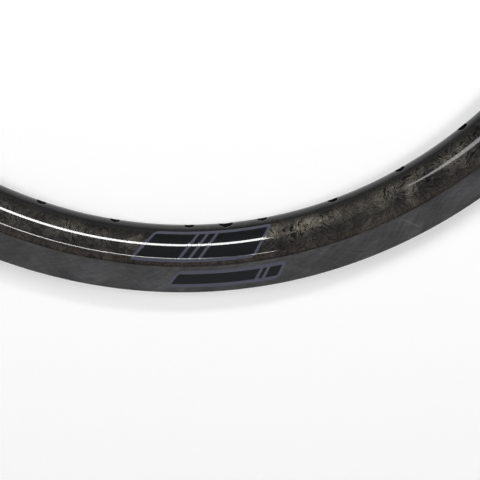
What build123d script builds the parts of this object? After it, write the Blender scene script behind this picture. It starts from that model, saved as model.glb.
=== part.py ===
"""A bicycle rim: one hollow carbon-fibre hoop, moulded in one piece with its spoke holes.

Millimetres. The wheel's axle runs along +Z through the origin, which is the rim's centre,
and the valve hole points along -Y. A section is drawn with the radius across and Z up.
"""

import os
from math import acos, degrees, sqrt

from build123d import *

# Tyre side
bead_seat_diameter = 559.0
flange_height = 6.0
flange_thickness = 2.9
hook_overhang = 0.7
hook_height = 2.2
hook_slope = 1.0
lip_round = 1.2
hook_chamfer = 0.6
seat_shelf = 4.6
well_depth = 4.0
well_slope = 2.2

# Outside
outer_width = 30.0
rim_depth = 37.2
sidewall_height = 16.0
flank_bulge = 8.0

# Walls of the hollow section
spoke_bed_wall = 2.8
sidewall_wall = 1.6
tyre_bed_wall = 1.5
cavity_chamfer = 1.5

# Holes
spoke_count = 36
spoke_hole_diameter = 6.0
access_hole_diameter = 8.5
valve_hole_diameter = 8.5
valve_angle = -90.0

# Radii and half widths worked out from the sizes above
seat_radius = bead_seat_diameter / 2
lip_radius = seat_radius + flange_height
bed_radius = lip_radius - rim_depth
crease_radius = lip_radius - sidewall_height
well_radius = seat_radius - well_depth
half_width = outer_width / 2
flange_face = half_width - flange_thickness
hook_face = flange_face - hook_overhang
shelf_edge = flange_face - seat_shelf
well_edge = shelf_edge - well_slope
cavity_side = half_width - sidewall_wall
cavity_top = seat_radius - tyre_bed_wall
cavity_well = well_radius - tyre_bed_wall
spoke_pitch = 360.0 / spoke_count

# The spoke bed and both flanks are one ellipse, centred past the crease so that the crease stays
bulge_centre = crease_radius + flank_bulge


def bulge_height(depth, side):
    """The ellipse's half width, for one this deep that passes the crease at this side."""
    return side / sqrt(1 - (flank_bulge / depth) ** 2)


def bulge(depth, side):
    """The rounded outline on the hub side, from crease to crease."""
    reach = degrees(acos(flank_bulge / depth))
    height = bulge_height(depth, side)
    return EllipticalCenterArc((bulge_centre, 0), depth, height, 180 - reach, arc_size=2 * reach)


def both_sides(lines):
    """Lines drawn on the +Z side, with their mirror images across the middle plane."""
    return lines + [line.mirror(Plane.XZ) for line in lines]


def outer_face():
    """The section's outside, with its flanks, flat sidewalls, bead hooks and drop-centre tyre bed."""
    bed = bulge(bulge_centre - bed_radius, half_width)
    crease = (crease_radius, half_width)
    lip_start = (lip_radius - lip_round, half_width)
    lip_end = (lip_radius, half_width - lip_round)
    side = [
        Line(crease, lip_start),
        RadiusArc(lip_start, lip_end, lip_round),
        Polyline(
            lip_end,
            (lip_radius, hook_face + hook_chamfer),
            (lip_radius - hook_chamfer, hook_face),
            (lip_radius - hook_height, hook_face),
            (lip_radius - hook_height - hook_slope, flange_face),
            (seat_radius, flange_face),
            (seat_radius, shelf_edge),
            (well_radius, well_edge),
        ),
    ]
    well_floor = Line((well_radius, -well_edge), (well_radius, well_edge))
    return make_face([bed, well_floor] + both_sides(side))


def cavity_face():
    """The section's hollow, inside walls that thin from the spoke bed to the sidewalls."""
    bed = bulge(bulge_centre - bed_radius - spoke_bed_wall, cavity_side)
    side = Polyline(
        (crease_radius, cavity_side),
        (cavity_top - cavity_chamfer, cavity_side),
        (cavity_top, cavity_side - cavity_chamfer),
        (cavity_top, shelf_edge),
        (cavity_well, well_edge),
    )
    well_ceiling = Line((cavity_well, -well_edge), (cavity_well, well_edge))
    return make_face([bed, well_ceiling] + both_sides([side]))


def radial_hole(diameter, start, end, angle):
    """A round cutter along the radius at this angle, from one radius to another."""
    plane = Plane(origin=(start, 0, 0), x_dir=(0, 1, 0), z_dir=(1, 0, 0))
    cutter = extrude(plane * Circle(diameter / 2), end - start)
    return Rot(0, 0, angle) * cutter


def make_rim():
    """The hoop, drilled for the spokes, for the nipples that hold them and for the valve."""
    section = Plane.XZ * (outer_face() - cavity_face())
    hoop = revolve(section, Axis.Z)
    mid_cavity = (bed_radius + spoke_bed_wall + cavity_well) / 2
    spoke_angles = [valve_angle + spoke_pitch * (k + 0.5) for k in range(spoke_count)]
    cutters = [radial_hole(valve_hole_diameter, bed_radius - spoke_bed_wall, lip_radius, valve_angle)]
    for angle in spoke_angles:
        cutters.append(radial_hole(spoke_hole_diameter, bed_radius - spoke_bed_wall, mid_cavity, angle))
        cutters.append(radial_hole(access_hole_diameter, mid_cavity, lip_radius, angle))
    return hoop - cutters


os.makedirs("parts", exist_ok=True)
rim = make_rim()
rim.label = "rim"
export_step(rim, "parts/rim.step")
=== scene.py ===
"""Looks for a bicycle rim moulded in carbon fibre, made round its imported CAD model.

Metres in the CAD frame: the axle is +Z, the hoop's middle is the origin and the valve hole is on -Y.
Sizes are written in millimetres, as in the CAD source, and scaled where they are used.
"""

from math import acos, asin, atan2, cos, dist, pi, radians, sin, sqrt, tan

import bmesh
import bpy
from mathutils import Matrix, Vector


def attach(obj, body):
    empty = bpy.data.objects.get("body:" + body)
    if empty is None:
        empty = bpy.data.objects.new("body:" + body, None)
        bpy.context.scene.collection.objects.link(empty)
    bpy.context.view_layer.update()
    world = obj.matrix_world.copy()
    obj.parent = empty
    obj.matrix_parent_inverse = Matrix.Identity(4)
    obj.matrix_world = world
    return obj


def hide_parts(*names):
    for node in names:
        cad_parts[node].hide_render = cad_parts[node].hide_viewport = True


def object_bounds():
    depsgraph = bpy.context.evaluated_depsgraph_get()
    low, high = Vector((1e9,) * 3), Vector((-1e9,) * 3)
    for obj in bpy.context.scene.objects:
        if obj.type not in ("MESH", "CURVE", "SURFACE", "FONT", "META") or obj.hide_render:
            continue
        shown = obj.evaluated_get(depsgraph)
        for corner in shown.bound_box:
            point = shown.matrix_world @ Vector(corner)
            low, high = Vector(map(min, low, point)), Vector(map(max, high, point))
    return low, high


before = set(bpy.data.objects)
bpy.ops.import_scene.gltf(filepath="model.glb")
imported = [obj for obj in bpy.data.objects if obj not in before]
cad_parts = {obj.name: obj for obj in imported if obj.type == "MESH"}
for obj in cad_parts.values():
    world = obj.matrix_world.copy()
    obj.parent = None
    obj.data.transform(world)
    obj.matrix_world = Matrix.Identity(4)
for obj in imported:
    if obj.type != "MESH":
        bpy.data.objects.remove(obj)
cad_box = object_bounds()

MM = 0.001

# Tyre side
bead_seat_diameter = 559.0
flange_height = 6.0
flange_thickness = 2.9
hook_overhang = 0.7
hook_height = 2.2
hook_slope = 1.0
seat_shelf = 4.6
well_depth = 4.0
well_slope = 2.2

# Outside
outer_width = 30.0
rim_depth = 37.2
sidewall_height = 16.0
flank_bulge = 8.0

# Walls of the hollow section
spoke_bed_wall = 2.8
sidewall_wall = 1.6
tyre_bed_wall = 1.5
cavity_chamfer = 1.5

# Rounds left by the mould
lip_round = 1.2
hook_round = 1.0
under_hook_round = 0.5
seat_round = 0.8
crease_round = 0.4
mouth_round = 0.55

# Holes, and the half heights of the patches of wall that they are drilled in
spoke_count = 36
spoke_hole_diameter = 6.0
access_hole_diameter = 8.5
valve_hole_diameter = 8.5
valve_angle = -pi / 2
bed_patch = 7.0
cavity_patch = 6.0
well_patch_margin = 0.5

# Mesh fineness: points along a sector, rows across each wall and steps round each edge
columns = 6
bed_rows = 12
well_rows = 6
flank_rows = 13
cavity_rows = 6
sidewall_rows = 3
round_steps = 3
mouth_steps = 5
ring_shares = (0.0, 0.3, 0.56, 0.8, 1.0)
weld_distance = 0.002
sharp_edge = radians(40)

# Bake map: rows of sectors, in which flanks and sidewalls have full fineness and the rest less
bake_map = "OFBake"
map_rows = 4
map_inset = 0.002
plain_share = 0.5
hidden_share = 0.06
bore_share = 0.35
band_gap = 1.0
height_slack = 0.01

# Printed panels: start and end along the hoop from the valve, rise from the crease, and bars across
panels = (
    (-52.0, 22.0, 3.0, 24.0, (-24.0, -18.0, -12.0)),
    (-34.0, 30.0, -12.5, -2.5, (16.0, 20.0)),
)
panel_slant = 0.7
panel_round = 3.0
panel_border = 2.0
print_blur = 0.12
print_relief = 0.02
slate_print = (0.075, 0.077, 0.105, 1.0)
black_print = (0.007, 0.0075, 0.009, 1.0)

# How much of the height counts in the rise up the flank
flank_lean = 0.6

# Painted sheen, a broad pale highlight of the fibres painted into the colour: its stretch along the hoop
# from the valve, its core, and how it fades in up the flank; and how much lighter the flank grows up from
# the crease
sheen_stretch = (-4.0, 92.0)
sheen_core = 0.3
sheen_rise = (10.5, 16.0)
light_rise = (5.0, 16.0)

# A stray strand on the sidewall: its two ends, along the hoop from the valve and up from the crease
strand = ((103.0, -1.5), (112.0, -13.0))
strand_edge = (0.1, 0.5)
strand_fades = (1.5, 3.0)
strand_share = 0.38

# Tows and plies: size of a patch, length and width of its streaks, and the leans that they lie between
broad_tows = (13.0, 9.0, 0.75, -1.4, 1.4)
small_tows = (6.5, 5.0, 0.5, -1.8, 1.8)
large_folds = (14.0, 12.0, 2.2, -1.4, 1.4)
small_folds = (8.0, 6.0, 1.1, -1.4, 1.4)
long_plies = (30.0, 14.0, 2.0, 0.1, 0.6)
cross_plies = (21.0, 11.0, 1.6, -0.7, -0.2)

# Swirls that push each of them about: how many to a metre, and how far they reach
area_swirls = (30.0, 30.0)
broad_swirls = (38.0, 16.0)
small_swirls = (70.0, 7.0)
large_fold_swirls = (48.0, 20.0)
small_fold_swirls = (70.0, 9.0)
ply_swirls = (25.0, 10.0)

# Noise of the flank's areas, of its wrinkled stretches and of the sidewall's mottle: how many to a metre
area_scale = 24.0
wrinkle_scale = 28.0
mottle_scale = 45.0

# Noise along the streaks: how fine it is in tows and in folds, and how far apart two patches draw theirs
tow_detail = 3.0
fold_detail = 1.0
streak_roughness = 0.6
streak_shift = 90.0

# Tones of the carbon: place on a ramp, level and tint
umber = (1.0, 0.85, 0.73)
lilac = (1.0, 0.985, 1.03)
olive = (1.0, 0.97, 0.72)
neutral = (1.0, 1.0, 1.0)
flank_tones = (
    (0.30, 0.008, (1.0, 0.97, 0.94)),
    (0.46, 0.026, (1.0, 0.95, 0.84)),
    (0.60, 0.075, (1.0, 0.93, 0.78)),
    (0.74, 0.160, (1.0, 0.92, 0.76)),
)
fold_tones = (
    (0.43, 1.0, neutral),
    (0.465, 0.9, neutral),
    (0.487, 0.12, neutral),
    (0.520, 0.12, neutral),
    (0.545, 1.6, neutral),
    (0.60, 1.0, neutral),
)
warm_tones = ((0.36, 0.020, umber), (0.64, 0.078, umber))
wall_tones = ((0.36, 0.036, lilac), (0.50, 0.058, lilac), (0.64, 0.094, lilac))
crease_level = 0.006
# Level of the painted shade on the spoke bed
bed_shade_level = 0.004
strand_level = 0.15

# Wrinkles of the flank: where the noise brings them in, and the least and the most of them
wrinkle_range = (0.36, 0.56)
wrinkle_shares = (0.35, 1.0)
small_fold_share = 0.9

# Warm tint by the crease: where it starts and is full, measured in from the crease, and its share by streak
warm_depth = (9.0, 2.0)
warm_streaks = (0.3, 0.7)
warm_shares = (0.25, 0.75)

# Dark line by the crease, blur of the crease itself, and height at which the spoke bed's painted shade
# gives way to tows
crease_line_depth = 0.6
crease_line_edge = (0.1, 0.7)
crease_line_share = 0.45
crease_blur = 0.3
bed_shade_heights = (6.0, 9.8)
bed_shade_share = 0.95

# Camera, in the photograph's own turn about the axle
photo_turn = Matrix.Rotation(radians(-6.56), 4, "Z")
eye = Vector((0.0, -127.8, 457.5))
look_at = Vector((37.2, -256.9, 0.0))
roll = radians(-2.11)
lens = 60.0
sensor_width = 36.0
clip_start = 10.0

# Glowing cards above the hoop, in the same turn: name, corners and level
card_height = 1000.0
cards = (
    ("wide_strip", ((-42, 565), (-23, 440), (330, 440), (330, 565)), 29.0),
    ("thin_strip", ((-158, -27), (78, -80), (78, -72), (-158, -9)), 25.0),
    ("grey_card", ((-128, 565), (-61, 383), (-440, 383), (-440, 593)), 6.5),
)

# Dim card inside the hoop: radius, width of its fading edge, and levels in its middle and at its edge
dim_card_radius = 212.0
dim_card_fade = 70.0
dim_card_levels = (0.4, 1.0)
dim_card_lift = 1.0
dim_card_corners = 72

# Soft lamps, in the same turn: centre, size and level
overhead_centre = (0, -650, 1000)
overhead_size = (1400, 500)
overhead_level = 0.25
side_box_centre = (1300, 450, 2100)
side_box_size = (700, 700)
side_box_level = 13.5
side_box_aim = (0, -100, 0)

# World: how high its pale horizon reaches, its levels before and behind the hoop, and that of the ceiling
horizon_reach = 0.5
horizon_turn = (-0.5, 0.3)
horizon_levels = (0.95, 0.45)
ceiling_level = 0.05

# Floor in metres: half its side, its paint, and the lift that keeps it white to the eye far out
floor_reach = 12.0
floor_paint = 0.8
floor_lift_reach = (0.4, 1.6)
floor_lift = (0.3, 0.9)

# Worked out from the sizes above
seat_radius = bead_seat_diameter / 2
lip_radius = seat_radius + flange_height
bed_radius = lip_radius - rim_depth
crease_radius = lip_radius - sidewall_height
well_radius = seat_radius - well_depth
half_width = outer_width / 2
flange_face = half_width - flange_thickness
hook_face = flange_face - hook_overhang
shelf_edge = flange_face - seat_shelf
well_edge = shelf_edge - well_slope
well_patch = well_edge - well_patch_margin
bulge_centre = crease_radius + flank_bulge
bed_depth = bulge_centre - bed_radius
cavity_depth = bed_depth - spoke_bed_wall
cavity_side = half_width - sidewall_wall
cavity_top = seat_radius - tyre_bed_wall
cavity_well = well_radius - tyre_bed_wall
sector_count = 2 * spoke_count
sector_half = pi / sector_count


def bulge_height(depth, side):
    """Half width of the hub side's ellipse, for one this deep that passes the crease at this side."""
    return side / sqrt(1 - (flank_bulge / depth) ** 2)


def bulge_point(depth, side, turn):
    """Radius and height of a point on that ellipse, at this turn from the middle plane."""
    return bulge_centre - depth * cos(turn), bulge_height(depth, side) * sin(turn)


def bulge_line(depth, side, patch, rows, gap=0.0):
    """Points along that ellipse from a patch's edge to the crease, or to this gap short of it."""
    start = asin(patch / bulge_height(depth, side))
    end = acos(flank_bulge / depth)
    end -= gap / (depth * sin(end))
    return [bulge_point(depth, side, start + (end - start) * k / rows) for k in range(rows + 1)]


def soften(corners):
    """An open line through corners of (radius, height, round), with an arc of that round at each."""
    line = [Vector(corners[0][:2])]
    for before, corner, after in zip(corners, corners[1:], corners[2:]):
        tip = Vector(corner[:2])
        back = (Vector(before[:2]) - tip).normalized()
        onward = (Vector(after[:2]) - tip).normalized()
        half = back.angle(onward) / 2
        middle = tip + (back + onward).normalized() * corner[2] / sin(half)
        first = tip + back * corner[2] / tan(half) - middle
        last = tip + onward * corner[2] / tan(half) - middle
        for k in range(round_steps + 1):
            arm = first.lerp(last, k / round_steps).normalized()
            line.append(middle + arm * corner[2])
    line.append(Vector(corners[-1][:2]))
    return [tuple(point) for point in line]


def outer_side():
    """The outside from the spoke bed over flank, sidewall and bead hook to the tyre well."""
    flank = bulge_line(bed_depth, half_width, bed_patch, flank_rows, crease_round)
    wall_start = crease_radius + crease_round
    wall_end = lip_radius - lip_round
    wall_step = (wall_end - wall_start) / sidewall_rows
    wall = [(wall_start + wall_step * k, half_width) for k in range(sidewall_rows)]
    hook_foot = lip_radius - hook_height
    tyre_side = soften([
        (wall_end - wall_step / 2, half_width, 0),
        (lip_radius, half_width, lip_round),
        (lip_radius, hook_face, hook_round),
        (hook_foot, hook_face, under_hook_round),
        (hook_foot - hook_slope, flange_face, under_hook_round),
        (seat_radius, flange_face, seat_round),
        (seat_radius, shelf_edge, seat_round),
        (well_radius, well_edge, seat_round),
        (well_radius, well_patch, 0),
    ])
    return flank + wall + tyre_side


def inner_side():
    """The hollow's wall from behind the spoke bed to behind the tyre well."""
    flank = bulge_line(cavity_depth, cavity_side, cavity_patch, cavity_rows)
    return flank + [
        (cavity_top - cavity_chamfer, cavity_side),
        (cavity_top, cavity_side - cavity_chamfer),
        (cavity_top, shelf_edge),
        (cavity_well, well_edge),
    ]


def bed_front(z):
    """Radius of the spoke bed's outside at this height."""
    return bulge_centre - bed_depth * sqrt(1 - (z / bulge_height(bed_depth, half_width)) ** 2)


def bed_back(z):
    """Radius of the spoke bed's inside at this height."""
    return bulge_centre - cavity_depth * sqrt(1 - (z / bulge_height(cavity_depth, cavity_side)) ** 2)


def well_front(z):
    """Radius of the tyre well's floor, the same at any height."""
    return well_radius


def well_back(z):
    """Radius of the hollow's wall behind that floor, the same at any height."""
    return cavity_well


def marks(line, start, share_at):
    """How far across the bake map each point of a section line lies, from this start."""
    found = [start]
    for one, other in zip(line, line[1:]):
        found.append(found[-1] + dist(one, other) * share_at(*other))
    return found


def outer_share(radius, z):
    """Fineness of the bake map at a point of the outside."""
    on_show = radius < crease_radius or z > half_width - height_slack
    return 1.0 if on_show else plain_share


def inner_share(radius, z):
    """Fineness of the bake map in the hollow, the same all over."""
    return hidden_share


# Middles of the bands across a row of the bake map: outside, tyre well, hollow and behind the well
outer_marks = marks(outer_side(), plain_share * bed_patch, outer_share)
inner_marks = marks(inner_side(), hidden_share * cavity_patch, inner_share)
outer_middle = band_gap + outer_marks[-1]
well_middle = outer_middle + outer_marks[-1] + band_gap + plain_share * well_patch
hollow_middle = well_middle + plain_share * well_patch + band_gap + inner_marks[-1]
behind_middle = hollow_middle + inner_marks[-1] + band_gap + hidden_share * well_edge
row_height = behind_middle + hidden_share * well_edge


def skin(bm, lines, places, closed):
    """Faces between neighbouring lines of as many points each, with the points' places on the bake map."""
    layer = bm.loops.layers.uv[bake_map]
    made = [[bm.verts.new(Vector(point) * MM) for point in line] for line in lines]
    for row in range(len(lines) - 1):
        width = len(lines[row])
        for k in range(width if closed else width - 1):
            after = (k + 1) % width
            spots = ((row, k), (row, after), (row + 1, after), (row + 1, k))
            face = bm.faces.new([made[i][j] for i, j in spots])
            for loop, (i, j) in zip(face.loops, spots):
                loop[layer].uv = places[i][j]


def across_sector(radius, z):
    """A sector's line of points along the hoop, at this radius and height."""
    turns = [sector_half * (2 * k / columns - 1) for k in range(columns + 1)]
    return [(radius * cos(turn), radius * sin(turn), z) for turn in turns]


def sector_places(mark):
    """Places of that line on the bake map, as shares of a sector along it and a mark across it."""
    return [(k / columns - 0.5, mark) for k in range(columns + 1)]


def plain_wall(bm, radius_at, patch, rows, middle, share):
    """A patch of spoke bed or tyre well with no hole in it."""
    heights = [patch * (2 * k / rows - 1) for k in range(rows + 1)]
    lines = [across_sector(radius_at(z), z) for z in heights]
    skin(bm, lines, [sector_places(middle + share * z) for z in heights], False)


def border(radius_at, patch, rows):
    """Points round a sector's patch, as distances along and across the hoop from its middle."""
    spots = [(k / columns, 0.0) for k in range(columns)]
    spots += [(1.0, k / rows) for k in range(rows)]
    spots += [(1 - k / columns, 1.0) for k in range(columns)]
    spots += [(0.0, 1 - k / rows) for k in range(rows)]
    heights = [patch * (2 * across - 1) for _, across in spots]
    turns = [sector_half * (2 * along - 1) for along, _ in spots]
    return [Vector((radius_at(z) * sin(turn), z)) for turn, z in zip(turns, heights)]


def on_wall(radius_at, flat, sink=0.0):
    """A point of a wall, from its distances along and across the hoop, sunk this far into it."""
    return sqrt(radius_at(flat.y) ** 2 - flat.x**2) + sink, flat.x, flat.y


def wall_place(radius_at, flat, middle, share):
    """The place of such a point on the bake map."""
    return asin(flat.x / radius_at(flat.y)) / (2 * sector_half), middle + share * flat.y


def drilled_wall(bm, front, back, rows, hole, mouth):
    """A hole of this radius through one wall, with a rounded mouth in front and a plain edge behind.

    Front and back each give a radius by height, a patch's half height, and a middle and share on the map.
    """
    front_at, front_patch, *front_map = front
    back_at, back_patch, *back_map = back
    front_border = border(front_at, front_patch, rows)
    back_border = border(back_at, back_patch, rows)
    ways = [spot.normalized() for spot in front_border]
    rings = []
    places = []

    def add_ring(spots, radius_at, sink, drawn, drawn_map):
        """One ring of points on or in a wall, drawn on the bake map at these spots."""
        rings.append([on_wall(radius_at, spot, sink) for spot in spots])
        places.append([wall_place(radius_at, spot, *drawn_map) for spot in drawn])

    for share in ring_shares:
        spots = [edge.lerp(way * (hole + mouth), share) for edge, way in zip(front_border, ways)]
        add_ring(spots, front_at, 0.0, spots, front_map)
    for step in range(1, mouth_steps + 1 if mouth else 1):
        lean = pi / 2 * step / mouth_steps
        spots = [way * (hole + mouth * (1 - sin(lean))) for way in ways]
        add_ring(spots, front_at, mouth * (1 - cos(lean)), spots, front_map)
    spots = [way * hole for way in ways]
    add_ring(spots, back_at, 0.0, [spot * bore_share for spot in spots], front_map)
    skin(bm, rings, places, True)
    rings.clear()
    places.clear()
    for share in reversed(ring_shares):
        spots = [edge.lerp(way * hole, share) for edge, way in zip(back_border, ways)]
        add_ring(spots, back_at, 0.0, spots, back_map)
    skin(bm, rings, places, True)


def place_object(name, data):
    """A new object at the origin."""
    made = bpy.data.objects.new(name, data)
    bpy.context.scene.collection.objects.link(made)
    return made


def sector(name, bed_hole=None, tyre_hole=None):
    """One slice of the hoop about +X, with holes of these diameters through its spoke bed and tyre well."""
    bm = bmesh.new()
    bm.loops.layers.uv.new(bake_map)
    sides = ((outer_side(), outer_marks, outer_middle), (inner_side(), inner_marks, hollow_middle))
    for line, line_marks, middle in sides:
        for side in (1, -1):
            lines = [across_sector(radius, side * z) for radius, z in line]
            skin(bm, lines, [sector_places(middle + side * mark) for mark in line_marks], False)
    bed = (bed_front, bed_patch, outer_middle, plain_share)
    bed_inside = (bed_back, cavity_patch, hollow_middle, hidden_share)
    well = (well_front, well_patch, well_middle, plain_share)
    well_inside = (well_back, well_edge, behind_middle, hidden_share)
    if bed_hole:
        drilled_wall(bm, bed, bed_inside, bed_rows, bed_hole / 2, mouth_round)
        drilled_wall(bm, well, well_inside, well_rows, tyre_hole / 2, 0.0)
    else:
        walls = ((bed, bed_rows), (bed_inside, bed_rows), (well, well_rows), (well_inside, well_rows))
        for (radius_at, patch, *on_map), rows in walls:
            plain_wall(bm, radius_at, patch, rows, *on_map)
    mesh = bpy.data.meshes.new(name)
    bm.to_mesh(mesh)
    bm.free()
    return place_object(name, mesh)


def hoop_tree():
    """Geometry Nodes that set sectors round the axle and close them into one skin."""
    tree = bpy.data.node_groups.new("hoop_from_sectors", "GeometryNodeTree")
    tree.interface.new_socket("Geometry", in_out="OUTPUT", socket_type="NodeSocketGeometry")
    given_sockets = (
        ("Spoke sector", "NodeSocketObject"),
        ("Plain sector", "NodeSocketObject"),
        ("Valve sector", "NodeSocketObject"),
        ("Spoke count", "NodeSocketInt"),
        ("Valve angle", "NodeSocketFloat"),
        ("Weld distance", "NodeSocketFloat"),
        ("Finish", "NodeSocketMaterial"),
    )
    for name, kind in given_sockets:
        tree.interface.new_socket(name, in_out="INPUT", socket_type=kind)
    nodes = tree.nodes
    link = tree.links.new
    given = nodes.new("NodeGroupInput").outputs

    def math(operation, one, other):
        """One arithmetic step on two numbers."""
        node = nodes.new("ShaderNodeMath")
        node.operation = operation
        for place, value in zip(node.inputs, (one, other)):
            if isinstance(value, bpy.types.NodeSocket):
                link(value, place)
            else:
                place.default_value = value
        return node.outputs[0]

    line = nodes.new("GeometryNodeMeshLine")
    link(given["Spoke count"], line.inputs["Count"])
    line.inputs["Offset"].default_value = (0, 0, 0)
    index = nodes.new("GeometryNodeInputIndex").outputs[0]
    pitch = math("DIVIDE", 2 * pi, given["Spoke count"])
    gap_turn = math("ADD", math("MULTIPLY", index, pitch), given["Valve angle"])
    spoke_turn = math("ADD", gap_turn, math("DIVIDE", pitch, 2.0))
    is_valve = math("COMPARE", index, 0.0)
    is_gap = math("SUBTRACT", 1.0, is_valve)
    join = nodes.new("GeometryNodeJoinGeometry")
    sets = (
        ("Spoke sector", spoke_turn, None),
        ("Plain sector", gap_turn, is_gap),
        ("Valve sector", gap_turn, is_valve),
    )
    for name, turn, chosen in sets:
        info = nodes.new("GeometryNodeObjectInfo")
        link(given[name], info.inputs["Object"])
        spin = nodes.new("ShaderNodeCombineXYZ")
        link(turn, spin.inputs["Z"])
        rotation = nodes.new("FunctionNodeEulerToRotation")
        link(spin.outputs[0], rotation.inputs[0])
        copies = nodes.new("GeometryNodeInstanceOnPoints")
        link(line.outputs[0], copies.inputs["Points"])
        link(info.outputs["Geometry"], copies.inputs["Instance"])
        link(rotation.outputs[0], copies.inputs["Rotation"])
        if chosen is not None:
            link(chosen, copies.inputs["Selection"])
        link(copies.outputs[0], join.inputs[0])
    real = nodes.new("GeometryNodeRealizeInstances")
    weld = nodes.new("GeometryNodeMergeByDistance")
    finish = nodes.new("GeometryNodeSetMaterial")
    link(join.outputs[0], real.inputs[0])
    link(real.outputs[0], weld.inputs["Geometry"])
    link(given["Weld distance"], weld.inputs["Distance"])
    link(weld.outputs[0], finish.inputs["Geometry"])
    link(given["Finish"], finish.inputs["Material"])
    link(finish.outputs[0], nodes.new("NodeGroupOutput").inputs[0])
    return tree


def set_inputs(modifier, values):
    """Sets a Geometry Nodes modifier's inputs by the identifiers of their sockets."""
    for item in modifier.node_group.interface.items_tree:
        if item.name in values and item.in_out == "INPUT":
            modifier[item.identifier] = values[item.name]


def settle(name, holder):
    """The plain mesh object that a holder's Geometry Nodes give."""
    bpy.context.view_layer.update()
    graph = bpy.context.evaluated_depsgraph_get()
    made = place_object(name, bpy.data.meshes.new_from_object(holder.evaluated_get(graph)))
    bpy.data.objects.remove(holder)
    return made


def lay_out(mesh):
    """Moves each face on the bake map from its sector's own corner to the sector's spot in the rows."""
    layer = mesh.uv_layers[bake_map].uv
    row_length = sector_count // map_rows
    for face in mesh.polygons:
        turn = atan2(face.center.x, -face.center.y)
        index = round(turn / (2 * sector_half)) + row_length // 2
        row, column = divmod(index % sector_count, row_length)
        for corner in face.loop_indices:
            along, across = layer[corner].vector
            spot = Vector(((column + 0.5 + along) / row_length, (row + across / row_height) / map_rows))
            layer[corner].vector = Vector((map_inset, map_inset)) + spot * (1 - 2 * map_inset)


def hoop(finish):
    """The whole rim, one closed skin round its hollow."""
    slices = {
        "Spoke sector": sector("spoke_sector", spoke_hole_diameter, access_hole_diameter),
        "Plain sector": sector("plain_sector"),
        "Valve sector": sector("valve_sector", valve_hole_diameter, valve_hole_diameter),
    }
    sizes = {"Spoke count": spoke_count, "Valve angle": valve_angle, "Weld distance": weld_distance * MM}
    holder = place_object("hoop_holder", bpy.data.meshes.new("hoop_holder"))
    modifier = holder.modifiers.new("hoop", "NODES")
    modifier.node_group = hoop_tree()
    set_inputs(modifier, {**slices, **sizes, "Finish": finish})
    made = settle("carbon_hoop", holder)
    for piece in slices.values():
        bpy.data.objects.remove(piece)
    bm = bmesh.new()
    bm.from_mesh(made.data)
    bmesh.ops.recalc_face_normals(bm, faces=bm.faces)
    for face in bm.faces:
        face.material_index = 0
    made.data.materials.clear()
    made.data.materials.append(finish)
    bm.to_mesh(made.data)
    bm.free()
    lay_out(made.data)
    made.data.shade_smooth()
    made.data.set_sharp_from_angle(angle=sharp_edge)
    return made


def grey(level, tint=neutral):
    """A linear colour of this level, with a tint."""
    return tuple(level * part for part in tint) + (1.0,)


class Recipe:
    """Short calls that build one material's or the world's nodes."""

    def __init__(self, owner):
        owner.use_nodes = True
        self.tree = owner.node_tree
        self.tree.nodes.clear()

    def feed(self, place, value):
        """Links a socket into an input, or sets the input's own value."""
        if isinstance(value, bpy.types.NodeSocket):
            self.tree.links.new(value, place)
        else:
            place.default_value = value

    def add(self, kind, sockets=None, **settings):
        """A node with these settings and inputs."""
        node = self.tree.nodes.new(kind)
        for name, value in settings.items():
            setattr(node, name, value)
        for name, value in (sockets or {}).items():
            self.feed(node.inputs[name], value)
        return node

    def place(self):
        """A point's place on its object, in metres."""
        return self.add("ShaderNodeTexCoord").outputs["Object"]

    def math(self, operation, *values):
        """One arithmetic step on numbers."""
        return self.add("ShaderNodeMath", dict(enumerate(values)), operation=operation).outputs[0]

    def weighed(self, *pairs):
        """A sum of levels, each times its weight."""
        total = 0.0
        for level, weight in pairs:
            total = self.math("MULTIPLY_ADD", level, weight, total)
        return total

    def vector(self, operation, *values):
        """One arithmetic step on vectors, which gives a number for a length or a dot product."""
        node = self.add("ShaderNodeVectorMath", dict(enumerate(values)), operation=operation)
        return node.outputs["Value" if operation in ("LENGTH", "DOT_PRODUCT") else "Vector"]

    def join(self, x=0.0, y=0.0, z=0.0):
        """A vector from three numbers."""
        return self.add("ShaderNodeCombineXYZ", {"X": x, "Y": y, "Z": z}).outputs[0]

    def span(self, value, low, high, low_out=0.0, high_out=1.0):
        """A value eased from one range to another and held at its ends."""
        sockets = {0: value, 1: low, 2: high, 3: low_out, 4: high_out}
        return self.add("ShaderNodeMapRange", sockets, interpolation_type="SMOOTHSTEP").outputs[0]

    def noise(self, vector, scale, detail=2.0, roughness=0.5):
        """Fractal noise."""
        sockets = {"Vector": vector, "Scale": scale, "Detail": detail, "Roughness": roughness}
        return self.add("ShaderNodeTexNoise", sockets).outputs

    def mix(self, share, one, other):
        """Two colours mixed."""
        sockets = {0: share, 6: one, 7: other}
        return self.add("ShaderNodeMix", sockets, data_type="RGBA").outputs[2]

    def ramp(self, value, tones):
        """A colour from tones of (place on the ramp, level, tint)."""
        node = self.add("ShaderNodeValToRGB", {0: value})
        points = node.color_ramp.elements
        for place, _, _ in tones[2:]:
            points.new(place)
        for point, (place, level, tint) in zip(points, tones):
            point.position = place
            point.color = grey(level, tint)
        return node.outputs[0]

    def glow(self, level):
        """A white glow of this level."""
        return self.add("ShaderNodeEmission", {"Color": grey(1.0), "Strength": level}).outputs[0]


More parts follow.
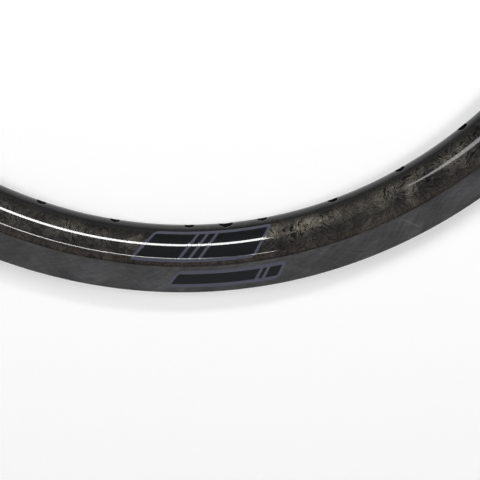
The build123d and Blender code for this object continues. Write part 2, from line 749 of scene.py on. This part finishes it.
def carbon():
    """Chopped carbon tows on the flanks, finer plies on the sidewalls and printed panels, under gloss."""
    material = bpy.data.materials.new("gloss_carbon")
    kit = Recipe(material)

    # Where a point lies: round the hoop from the valve, and up the flank from the crease
    place = kit.place()
    axes = kit.add("ShaderNodeSeparateXYZ", {0: place}).outputs
    flat = kit.vector("MULTIPLY", place, (1, 1, 0))
    radius = kit.math("DIVIDE", kit.vector("LENGTH", flat), MM)
    height = kit.math("DIVIDE", kit.math("ABSOLUTE", axes["Z"]), MM)
    turn = kit.math("ARCTAN2", axes["X"], kit.math("MULTIPLY", axes["Y"], -1.0))
    run = kit.math("MULTIPLY", turn, crease_radius)
    crease_rise = crease_radius + flank_lean * half_width
    rise = kit.weighed((radius, -1.0), (height, -flank_lean), (1.0, crease_rise))

    # Ways along the hoop and up the flank, for each tow to lean from
    outward = kit.vector("NORMALIZE", flat)
    along = kit.vector("CROSS_PRODUCT", (0, 0, 1), outward)
    side = kit.math("SIGN", axes["Z"])
    across = kit.vector("ADD", outward, kit.join(z=kit.math("MULTIPLY", side, flank_lean)))

    def pushed(scale, reach):
        """The place, pushed about by swirls of this scale."""
        push = kit.vector("SUBTRACT", kit.noise(place, scale)["Color"], (0.5, 0.5, 0.5))
        return kit.vector("ADD", place, kit.vector("MULTIPLY", push, (reach * MM,) * 3))

    def tows(spot, size, length, width, least, most, detail=tow_detail):
        """Chopped tows of this size: a level for each, and streaks along each one's own lean."""
        cell = kit.add("ShaderNodeTexVoronoi", {"Vector": spot, "Scale": 1 / (size * MM)}).outputs
        draw = kit.add("ShaderNodeSeparateColor", {0: cell["Color"]}).outputs
        gap = kit.vector("SUBTRACT", spot, cell["Position"])
        gap = kit.join(kit.vector("DOT_PRODUCT", gap, along), kit.vector("DOT_PRODUCT", gap, across))
        lean = kit.add("ShaderNodeMapRange", {0: draw[0], 3: least, 4: most}).outputs[0]
        turned = kit.add("ShaderNodeVectorRotate", {"Vector": gap, "Angle": lean}, rotation_type="Z_AXIS")
        drawn = kit.vector("MULTIPLY", turned.outputs[0], (1 / (length * MM), 1 / (width * MM), 0))
        drawn = kit.vector("ADD", drawn, kit.vector("MULTIPLY", cell["Color"], (0, 0, streak_shift)))
        return draw[1], kit.noise(drawn, 1.0, detail, streak_roughness)[0]

    def folded(colour, spot, sizes, share):
        """A colour with thin dark folds in it, each with a paler ridge beside it."""
        _, fold = tows(spot, *sizes, detail=fold_detail)
        return kit.mix(share, colour, kit.vector("MULTIPLY", colour, kit.ramp(fold, fold_tones)))

    # Flank, of tows with a painted sheen (a pale highlight painted into the colour) over one stretch, and
    # wrinkled in others
    sheen_middle = sum(sheen_stretch) / 2
    sheen_half = (sheen_stretch[1] - sheen_stretch[0]) / 2
    from_middle = kit.math("ABSOLUTE", kit.math("SUBTRACT", run, sheen_middle))
    # Painted sheen: the tows are painted pale over one stretch of the hoop, fading in up the flank
    painted_sheen = kit.span(from_middle, sheen_core * sheen_half, sheen_half, 1.0, 0.0)
    painted_sheen = kit.math("MULTIPLY", painted_sheen, kit.span(rise, *sheen_rise))
    areas = kit.noise(pushed(*area_swirls), area_scale)[0]
    broad, broad_streak = tows(pushed(*broad_swirls), *broad_tows)
    small, small_streak = tows(pushed(*small_swirls), *small_tows)
    level = kit.weighed(
        (areas, 0.50),
        (painted_sheen, 0.15),
        (broad, 0.12),
        (broad_streak, 0.30),
        (small, 0.10),
        (small_streak, 0.40),
        (kit.span(rise, *light_rise), 0.10),
        (1.0, -0.28),
    )
    flank = kit.ramp(level, flank_tones)
    wrinkled = kit.span(kit.noise(place, wrinkle_scale, 1.0)[0], *wrinkle_range, *wrinkle_shares)
    flank = folded(flank, pushed(*large_fold_swirls), large_folds, wrinkled)
    small_share = kit.math("MULTIPLY", wrinkled, small_fold_share)
    flank = folded(flank, pushed(*small_fold_swirls), small_folds, small_share)

    # Warm tint above the crease, a dark line in it, and painted shade that darkens the spoke bed almost to
    # black
    warm = kit.span(radius, *(crease_radius - depth for depth in warm_depth))
    warm = kit.math("MULTIPLY", warm, kit.span(broad_streak, *warm_streaks, *warm_shares))
    flank = kit.mix(warm, flank, kit.ramp(small_streak, warm_tones))
    line = kit.math("ABSOLUTE", kit.math("SUBTRACT", radius, crease_radius - crease_line_depth))
    line = kit.span(line, *crease_line_edge, crease_line_share, 0.0)
    flank = kit.mix(line, flank, grey(crease_level))
    # Painted shade: the middle of the spoke bed, which faces the hub, is darkened almost to black
    flank = kit.mix(kit.span(height, *bed_shade_heights, bed_shade_share, 0.0), flank, grey(bed_shade_level))

    # Sidewall, of fine plies brushed along the hoop on both diagonals
    brushed = pushed(*ply_swirls)
    _, ply = tows(brushed, *long_plies)
    _, cross = tows(brushed, *cross_plies)
    mottle = kit.noise(brushed, mottle_scale, 3.0)[0]
    wall = kit.ramp(kit.weighed((mottle, 0.50), (ply, 0.30), (cross, 0.20)), wall_tones)
    on_wall_share = kit.span(radius, crease_radius - crease_blur, crease_radius + crease_blur)
    colour = kit.mix(on_wall_share, flank, wall)

    # The outside's upper half, which the print and a stray strand keep to
    outside = kit.math("GREATER_THAN", axes["Z"], (half_width - lip_round) * MM)
    outside = kit.math("MAXIMUM", outside, kit.math("LESS_THAN", radius, crease_radius))
    printed = kit.math("MULTIPLY", outside, kit.math("GREATER_THAN", axes["Z"], 0.0))

    # One stray strand that crosses the sidewall
    strand_start = Vector(strand[0])
    strand_run = Vector(strand[1]) - strand_start
    strand_way = strand_run.normalized().to_3d()
    strand_side = Vector((-strand_way.y, strand_way.x, 0.0))
    fade_in, fade_out = strand_fades
    from_start = kit.join(
        kit.math("SUBTRACT", run, strand_start.x),
        kit.math("SUBTRACT", rise, strand_start.y),
    )
    on_line = kit.vector("DOT_PRODUCT", from_start, strand_way)
    off_line = kit.math("ABSOLUTE", kit.vector("DOT_PRODUCT", from_start, strand_side))
    ending = kit.span(on_line, strand_run.length - fade_out, strand_run.length, 1.0, 0.0)
    thread = kit.span(off_line, *strand_edge, strand_share, 0.0)
    for share in (kit.span(on_line, 0.0, fade_in), ending, printed):
        thread = kit.math("MULTIPLY", thread, share)
    colour = kit.mix(thread, colour, grey(strand_level, olive))

    # Printed panels: black fields with slate borders and bars
    film_edges = []
    fill_edges = []
    for start, end, low, high, bars in panels:
        middle = (start + end) / 2
        off = kit.math("SUBTRACT", rise, (low + high) / 2)
        skew = kit.weighed((run, 1.0), (off, -panel_slant), (1.0, -middle))
        reach_x = kit.math("SUBTRACT", kit.math("ABSOLUTE", skew), (end - start) / 2 - panel_round)
        reach_y = kit.math("SUBTRACT", kit.math("ABSOLUTE", off), (high - low) / 2 - panel_round)
        reach = kit.join(kit.math("MAXIMUM", reach_x, 0.0), kit.math("MAXIMUM", reach_y, 0.0))
        outer = kit.math("SUBTRACT", kit.vector("LENGTH", reach), panel_round)
        inner = kit.math("ADD", outer, panel_border)
        for bar in bars:
            from_bar = kit.math("ABSOLUTE", kit.math("SUBTRACT", skew, bar - middle))
            inner = kit.math("MAXIMUM", inner, kit.math("SUBTRACT", panel_border / 2, from_bar))
        film_edges.append(outer)
        fill_edges.append(inner)

    def filled(edges):
        """One inside any of these edges and nought outside, on the printed side."""
        nearest = edges[0]
        for edge in edges[1:]:
            nearest = kit.math("MINIMUM", nearest, edge)
        return kit.math("MULTIPLY", kit.span(nearest, -print_blur, print_blur, 1.0, 0.0), printed)

    film = filled(film_edges)
    fill = filled(fill_edges)
    colour = kit.mix(film, colour, slate_print)
    colour = kit.mix(fill, colour, black_print)

    # The gloss follows the print's thin edge
    print_height = kit.weighed((film, 0.6), (fill, 0.4))
    relief = kit.add("ShaderNodeBump", {"Height": print_height, "Distance": print_relief * MM})
    shader = kit.add("ShaderNodeBsdfPrincipled", {
        "Base Color": colour,
        "Roughness": 0.45,
        "Specular IOR Level": 0.05,
        "Coat Weight": 1.0,
        "Coat Roughness": 0.02,
        "Coat IOR": 1.45,
        "Coat Normal": relief.outputs[0],
    })
    kit.add("ShaderNodeOutputMaterial", {"Surface": shader.outputs[0]})
    return material


def add_camera():
    """The photograph's view, close above the bottom of the hoop."""
    data = bpy.data.cameras.new("camera")
    data.lens = lens
    data.sensor_width = sensor_width
    data.clip_start = clip_start * MM
    camera = place_object("camera", data)
    back = (eye - look_at).normalized()
    right = Vector((sin(roll), cos(roll), 0.0)).cross(back).normalized()
    up = back.cross(right)
    turn = Matrix((right, up, back)).transposed().to_4x4()
    camera.matrix_world = photo_turn @ Matrix.Translation(eye * MM) @ turn
    bpy.context.scene.camera = camera


def add_softbox(name, centre, size, level, aim=None):
    """A flat lamp of this brightness, facing down or at a point."""
    data = bpy.data.lights.new(name, "AREA")
    data.shape = "RECTANGLE"
    data.size = size[0] * MM
    data.size_y = size[1] * MM
    data.energy = pi * data.size * data.size_y * level
    lamp = place_object(name, data)
    turn = Matrix.Identity(4)
    if aim is not None:
        turn = (Vector(aim) - Vector(centre)).to_track_quat("-Z", "Y").to_matrix().to_4x4()
    lamp.matrix_world = photo_turn @ Matrix.Translation(Vector(centre) * MM) @ turn
    lamp.visible_camera = False


def stage_sheet(name, corners, surface):
    """A flat piece of the stage with these corners, whose surface is built by a function of its recipe."""
    mesh = bpy.data.meshes.new(name)
    mesh.from_pydata(corners, [], [range(len(corners))])
    made = place_object(name, mesh)
    material = bpy.data.materials.new(name)
    kit = Recipe(material)
    kit.add("ShaderNodeOutputMaterial", {"Surface": surface(kit)})
    mesh.materials.append(material)
    return made


def add_card(name, corners, level):
    """A glowing card above the hoop, of any outline and facing down."""
    spots = [photo_turn @ (Vector((x, y, card_height)) * MM) for x, y in corners]
    made = stage_sheet(name, spots, lambda kit: kit.glow(level))
    made.visible_camera = False


def add_dim_card():
    """A dim round card inside the hoop, which shows in the gloss of the spoke bed alone."""
    edge = dim_card_radius * MM
    fade_start = edge - dim_card_fade * MM
    low = cad_box[0].z + dim_card_lift * MM
    turns = [2 * pi * k / dim_card_corners for k in range(dim_card_corners)]

    def surface(kit):
        """A glow that fades from the edge inwards."""
        return kit.glow(kit.span(kit.vector("LENGTH", kit.place()), fade_start, edge, *dim_card_levels))

    made = stage_sheet("dim_card", [(edge * cos(turn), edge * sin(turn), low) for turn in turns], surface)
    made.visible_camera = False
    made.visible_diffuse = False
    made.visible_transmission = False
    made.visible_shadow = False


def add_lights():
    """Cards that draw the gloss lines and a grey wedge, a dim card, an overhead panel and two softboxes."""
    for name, corners, level in cards:
        add_card(name, corners, level)
    add_dim_card()
    add_softbox("overhead_panel", overhead_centre, overhead_size, overhead_level)
    x, y, z = side_box_centre
    for side in (-1, 1):
        add_softbox("side_box", (side * x, y, z), side_box_size, side_box_level, side_box_aim)


def add_world():
    """A white backdrop whose light is pale near the horizon and dim overhead, as under a dark ceiling."""
    world = bpy.data.worlds.new("studio")
    bpy.context.scene.world = world
    kit = Recipe(world)
    way = kit.add("ShaderNodeTexCoord").outputs["Generated"]
    way = kit.add("ShaderNodeSeparateXYZ", {0: way}).outputs
    low = kit.span(way["Z"], 0.0, horizon_reach, 1.0, 0.0)
    front = kit.span(way["Y"], *horizon_turn, *horizon_levels)
    level = kit.math("MULTIPLY_ADD", low, front, ceiling_level)
    rays = kit.add("ShaderNodeLightPath").outputs
    seen = kit.math("MAXIMUM", rays["Is Camera Ray"], rays["Is Transmission Ray"])
    level = kit.math("MAXIMUM", level, seen)
    shade = kit.add("ShaderNodeBackground", {"Color": level})
    kit.add("ShaderNodeOutputWorld", {"Surface": shade.outputs[0]})


def add_floor():
    """A white floor that keeps the rim's shadow."""
    low = cad_box[0].z
    sides = ((-1, -1), (1, -1), (1, 1), (-1, 1))

    def surface(kit):
        """White paint, lifted for the rays that show the floor itself."""
        rays = kit.add("ShaderNodeLightPath").outputs
        seen = kit.math("MAXIMUM", rays["Is Camera Ray"], rays["Is Glossy Ray"])
        seen = kit.math("MAXIMUM", seen, rays["Is Transmission Ray"])
        paint = kit.add("ShaderNodeBsdfDiffuse", {"Color": grey(floor_paint)})
        lift = kit.span(kit.vector("LENGTH", kit.place()), *floor_lift_reach, *floor_lift)
        glow = kit.glow(kit.math("MULTIPLY", seen, lift))
        return kit.add("ShaderNodeAddShader", {0: paint.outputs[0], 1: glow}).outputs[0]

    stage_sheet("floor", [(x * floor_reach, y * floor_reach, low) for x, y in sides], surface)


bpy.context.scene.view_settings.view_transform = "Standard"
rim = hoop(carbon())
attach(rim, "root")
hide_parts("rim")
add_camera()
add_lights()
add_world()
add_floor()
